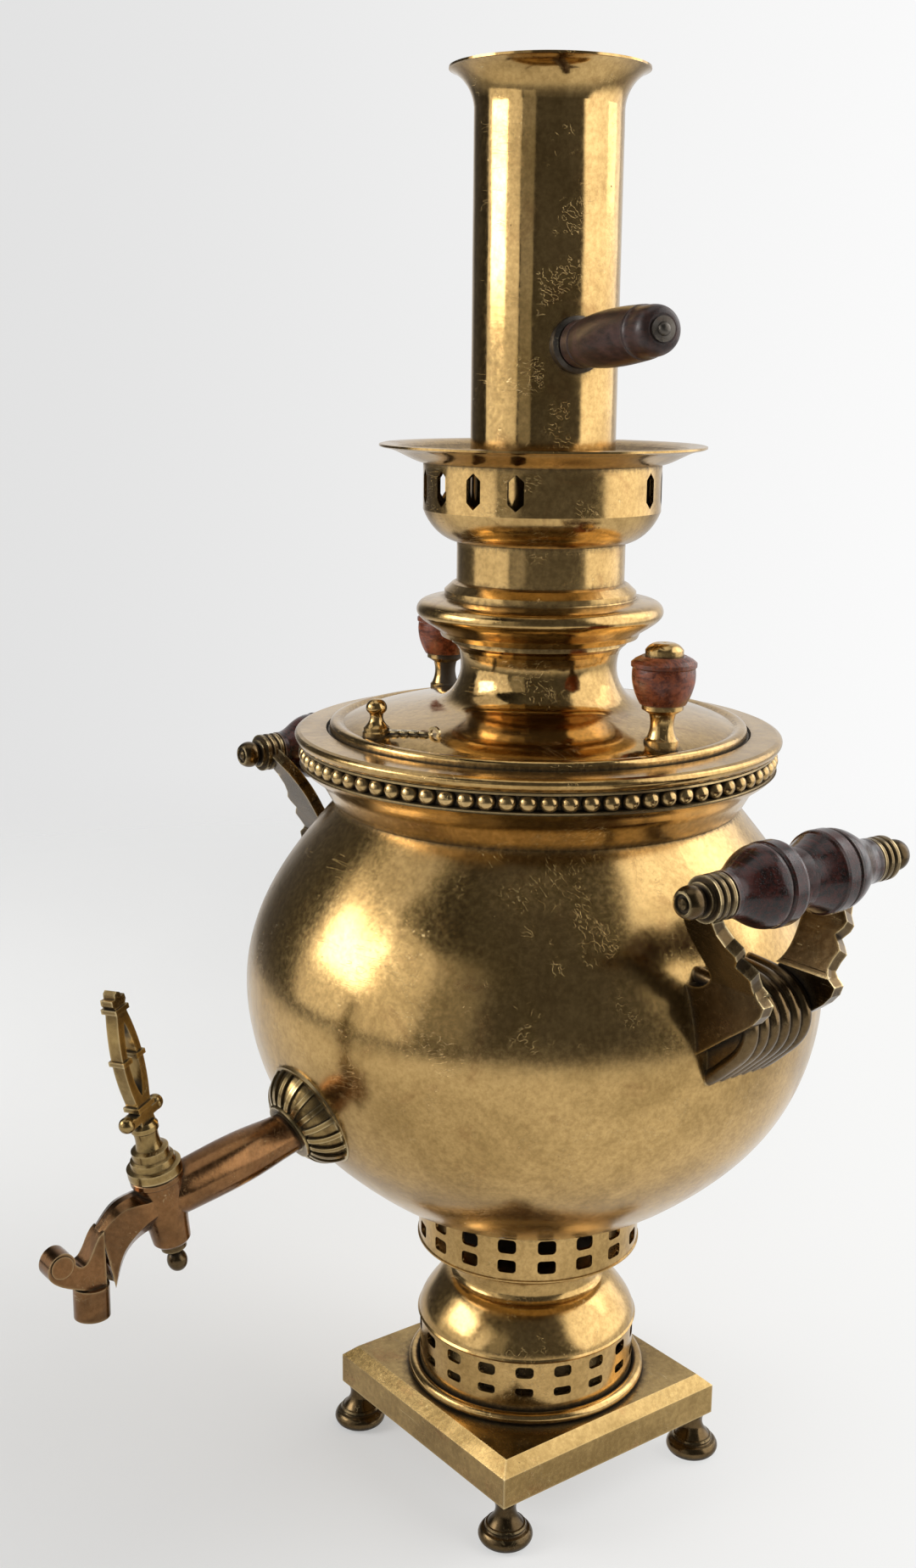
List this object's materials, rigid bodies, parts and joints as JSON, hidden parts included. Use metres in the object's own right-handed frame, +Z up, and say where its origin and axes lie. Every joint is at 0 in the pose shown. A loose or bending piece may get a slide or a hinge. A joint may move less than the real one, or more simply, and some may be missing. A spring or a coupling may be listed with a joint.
{
  "type": "samovar",
  "caption": "Charcoal samovar: round boiler on a pierced square-footed pedestal, with a tap, two side handles, lift-off lid, teapot crown and chimney pipe.",
  "frame": {"origin": "on the body's axis, at the height of the table that the four feet stand on", "axes": "+Z up along the chimney; the tap points along -Y; the handles stand at +X and -X"},
  "size_m": [0.3134, 0.3396, 0.57],
  "materials": {
    "aged_brass": "aged brass with a dull golden polish and brown patina in the hollows",
    "tube_brass": "scaled and sooted brass",
    "tap_bronze": "brown, half-polished cast brass",
    "red_wood": "varnished red-brown turned wood",
    "dark_wood": "worn near-black varnished turned wood",
    "dark_iron": "dark forged iron",
    "grate_iron": "rough cast iron with ash"
  },
  "bodies": {
    "body": {"base_plate": "aged_brass", "foot_front_right": "aged_brass", "foot_front_left": "aged_brass", "foot_back_right": "aged_brass", "foot_back_left": "aged_brass", "foot_nuts": "dark_iron", "base_ring": "aged_brass", "lower_gallery": "aged_brass", "pedestal_neck": "aged_brass", "upper_gallery": "aged_brass", "body_shell": "aged_brass", "fire_tube": "tube_brass", "fire_grate": "grate_iron", "body_collar": "aged_brass", "bead_ring": "aged_brass", "shoulder_ring": "aged_brass", "handle_bracket_right": "aged_brass", "handle_bracket_left": "aged_brass", "handle_grip_right": "dark_wood", "handle_grip_left": "dark_wood", "handle_rod_right": "dark_iron", "handle_rod_left": "dark_iron", "handle_finials_right": "aged_brass", "handle_finials_left": "aged_brass", "tap_body": "tap_bronze", "tap_nozzle": "tap_bronze", "tap_rosette": "aged_brass"},
    "lid": {"lid": "aged_brass", "lid_spigot": "aged_brass", "lid_moulding": "aged_brass", "knob_stem_right": "aged_brass", "knob_bowl_right": "red_wood", "knob_button_right": "aged_brass", "knob_stem_left": "aged_brass", "knob_bowl_left": "red_wood", "knob_button_left": "aged_brass", "vent_seat": "aged_brass", "chain_staple": "aged_brass", "vent_chain": "aged_brass"},
    "vent": {"vent_cap": "aged_brass"},
    "crown": {"crown_sleeve": "aged_brass", "crown_gallery": "aged_brass", "crown_dish": "aged_brass"},
    "pipe": {"pipe_tube": "aged_brass", "pipe_grip_flange": "dark_iron", "pipe_grip": "dark_wood", "pipe_grip_rivet": "dark_iron"},
    "key": {"tap_key": "aged_brass", "tap_tail_nut": "aged_brass"}
  },
  "joints": [
    {"name": "lid_lift", "type": "slide", "parent": "body", "child": "lid", "axis": [0, 0, 1], "range_m": [0, 0.09]},
    {"name": "vent_lift", "type": "slide", "parent": "lid", "child": "vent", "axis": [0, 0, 1], "range_m": [0, 0.012]},
    {"name": "crown_lift", "type": "slide", "parent": "lid", "child": "crown", "axis": [0, 0, 1], "range_m": [0, 0.025]},
    {"name": "pipe_lift", "type": "slide", "parent": "crown", "child": "pipe", "axis": [0, 0, 1], "range_m": [0, 0.05]},
    {"name": "tap_turn", "type": "hinge", "parent": "body", "child": "key", "pos_m": [0, -0.17429, 0.1644], "axis": [0, -0.2045, 0.9789], "continuous": true}
  ]
}
